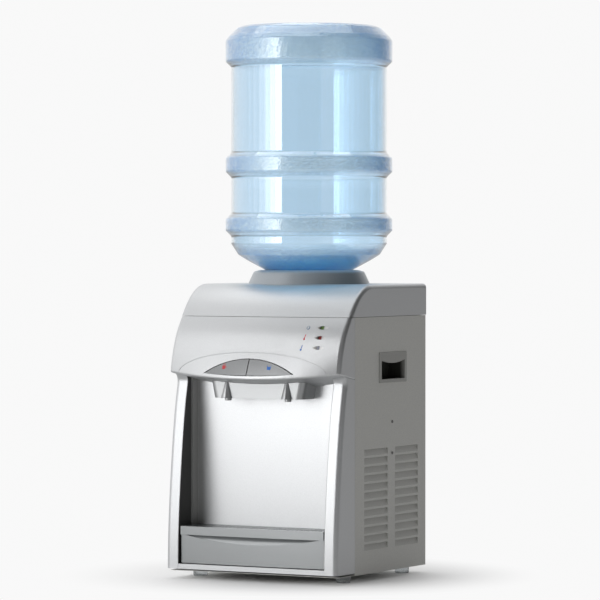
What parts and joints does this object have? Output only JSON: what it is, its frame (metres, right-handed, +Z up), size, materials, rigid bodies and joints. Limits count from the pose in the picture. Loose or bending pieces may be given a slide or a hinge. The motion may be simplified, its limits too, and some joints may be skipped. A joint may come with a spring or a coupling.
{
  "type": "countertop water dispenser",
  "caption": "Countertop hot and cold water dispenser with an upturned bottle, push-button taps, a cup niche and a pull-out drip tray.",
  "frame": {"origin": "middle of the footprint of the whole object, on the surface it stands on", "axes": "+X to the right as seen from the front, +Y to the back, +Z up"},
  "size_m": [0.312, 0.3401, 0.888],
  "materials": {
    "silver_plastic": "satin metallic silver",
    "niche_plastic": "satin metallic silver",
    "grey_paint": "satin warm grey",
    "handle_plastic": "satin",
    "clear_foot": "clear moulded plastic",
    "button_plastic": "satin metallic grey",
    "dark_plastic": "gloss",
    "tray_plastic": "satin metallic grey",
    "blue_bottle": "clear blue polycarbonate with pebbled bands",
    "cap_plastic": "gloss",
    "green_lens": "clear gloss",
    "red_lens": "clear gloss",
    "blue_lens": "clear gloss",
    "screw_steel": "plated",
    "bare_steel": "brushed",
    "white_plastic": "matte",
    "foam": "closed-cell foam",
    "seal_rubber": "matte",
    "tube_rubber": "translucent silicone",
    "aluminium": "extruded",
    "brass": "plain",
    "black_plastic": "fine texture",
    "circuit_board": "solder resist"
  },
  "bodies": {
    "cabinet": {"base_plate": "grey_paint", "bottle_collar": "silver_plastic", "cold_nozzle": "dark_plastic", "cold_outlet_tube": "tube_rubber", "cold_tank": "bare_steel", "cold_valve_body": "white_plastic", "collar_seal": "seal_rubber", "control_board": "circuit_board", "cooling_block": "aluminium", "cooling_lens": "blue_lens", "cooling_module": "white_plastic", "drain_outlet": "white_plastic", "drain_tube": "tube_rubber", "fan_frame": "black_plastic", "feed_spike": "white_plastic", "feet": "clear_foot", "front_panel": "silver_plastic", "handle_left": "handle_plastic", "handle_right": "handle_plastic", "heat_sink": "aluminium", "heater_band": "bare_steel", "heating_lens": "red_lens", "hot_feed_tube": "tube_rubber", "hot_nozzle": "dark_plastic", "hot_outlet_tube": "tube_rubber", "hot_tank": "bare_steel", "hot_tank_bracket": "bare_steel", "hot_valve_body": "white_plastic", "indicator_board": "circuit_board", "niche_liner": "niche_plastic", "power_inlet": "black_plastic", "power_lens": "green_lens", "power_supply": "aluminium", "rear_panel": "grey_paint", "rear_screws": "screw_steel", "rear_switch_frames": "black_plastic", "side_panel_left": "grey_paint", "side_panel_right": "grey_paint", "side_screws": "screw_steel", "tank_baffle": "white_plastic", "tank_foam": "foam", "tap_bracket": "bare_steel", "tap_housing": "silver_plastic", "thermostats": "brass", "top_lid": "silver_plastic", "valve_springs": "bare_steel"},
    "hot_button": {"hot_button": "button_plastic"},
    "cold_button": {"cold_button": "button_plastic"},
    "hot_plunger": {"hot_valve_plunger": "white_plastic"},
    "cold_plunger": {"cold_valve_plunger": "white_plastic"},
    "drip_tray": {"drip_tray": "tray_plastic"},
    "drip_grille": {"drip_grille": "tray_plastic"},
    "bottle": {"bottle": "blue_bottle", "bottle_cap": "cap_plastic"},
    "fan_rotor": {"fan_rotor": "black_plastic"},
    "hot_switch": {"hot_switch": "black_plastic"},
    "cold_switch": {"cold_switch": "black_plastic"},
    "drain_cap": {"drain_cap": "white_plastic"}
  },
  "joints": [
    {"name": "hot_button_press", "type": "slide", "parent": "cabinet", "child": "hot_button", "axis": [0, 1, 0], "range_m": [0, 0.004], "stiffness_N_per_m": 400},
    {"name": "hot_plunger_slide", "type": "slide", "parent": "cabinet", "child": "hot_plunger", "axis": [0, 1, 0], "range_m": [0, 0.004]},
    {"name": "cold_button_press", "type": "slide", "parent": "cabinet", "child": "cold_button", "axis": [0, 1, 0], "range_m": [0, 0.004], "stiffness_N_per_m": 400},
    {"name": "cold_plunger_slide", "type": "slide", "parent": "cabinet", "child": "cold_plunger", "axis": [0, 1, 0], "range_m": [0, 0.004]},
    {"name": "drip_tray_slide", "type": "slide", "parent": "cabinet", "child": "drip_tray", "axis": [0, -1, 0], "range_m": [0, 0.08]},
    {"name": "drip_grille_lift", "type": "slide", "parent": "drip_tray", "child": "drip_grille", "axis": [0, 0, 1], "range_m": [0, 0.05]},
    {"name": "bottle_lift", "type": "slide", "parent": "cabinet", "child": "bottle", "axis": [0, 0, 1], "range_m": [0, 0.12]},
    {"name": "fan_spin", "type": "hinge", "parent": "cabinet", "child": "fan_rotor", "pos_m": [0, 0.1376, 0.335], "axis": [0, 1, 0], "continuous": true},
    {"name": "hot_switch_rock", "type": "hinge", "parent": "cabinet", "child": "hot_switch", "pos_m": [-0.01, 0.144, 0.06], "axis": [1, 0, 0], "range_deg": [0, 14]},
    {"name": "cold_switch_rock", "type": "hinge", "parent": "cabinet", "child": "cold_switch", "pos_m": [0.025, 0.144, 0.06], "axis": [1, 0, 0], "range_deg": [0, 14]},
    {"name": "drain_cap_pull", "type": "slide", "parent": "cabinet", "child": "drain_cap", "axis": [0, 1, 0], "range_m": [0, 0.02]}
  ],
  "couplings": [
    {"joint": "hot_plunger_slide", "follows": "hot_button_press", "ratio": 1},
    {"joint": "cold_plunger_slide", "follows": "cold_button_press", "ratio": 1}
  ]
}
